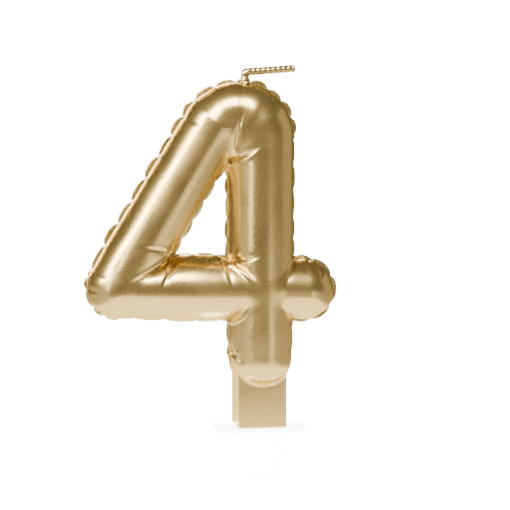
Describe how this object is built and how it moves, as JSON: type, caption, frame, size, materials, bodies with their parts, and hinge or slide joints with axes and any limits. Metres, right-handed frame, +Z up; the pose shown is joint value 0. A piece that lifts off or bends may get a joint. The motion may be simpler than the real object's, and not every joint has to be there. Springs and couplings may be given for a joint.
{
  "type": "number birthday candle",
  "caption": "Wax figure four shaped like a foil balloon with a scalloped seam, a bent plaited wick, and a clear pick that holds it in a cake.",
  "frame": {"origin": "middle of the clear pick's flange, on its underside, where the flange rests on the icing", "axes": "+Z up along the stem, +X to the figure's right as it is read, -Y towards its front"},
  "size_m": [0.0578, 0.0146, 0.0933],
  "materials": {
    "gold_wax": "paraffin wax under a satin metallic gold lacquer",
    "gold_wick": "plaited cotton dipped in wax and gold lacquer",
    "cotton": "plain cotton yarn soaked in wax",
    "clear_plastic": "clear moulded polystyrene"
  },
  "bodies": {
    "pick": {"cake_pick": "clear_plastic"},
    "candle": {"wax_number": "gold_wax", "wick_collar": "gold_wax", "wick_strand_1": "cotton", "wick_strand_2": "cotton", "wick_strand_3": "cotton"},
    "wick_tip": {"tip_sheath": "gold_wick", "tip_strand_1": "cotton", "tip_strand_2": "cotton", "tip_strand_3": "cotton"}
  },
  "joints": [
    {"name": "candle_lift", "type": "slide", "parent": "pick", "child": "candle", "axis": [0, 0, 1], "range_m": [0, 0.012]},
    {"name": "wick_bend", "type": "hinge", "parent": "candle", "child": "wick_tip", "pos_m": [-0.0033, 0, 0.07981], "axis": [0, -1, 0], "range_deg": [0, 85.8]}
  ]
}
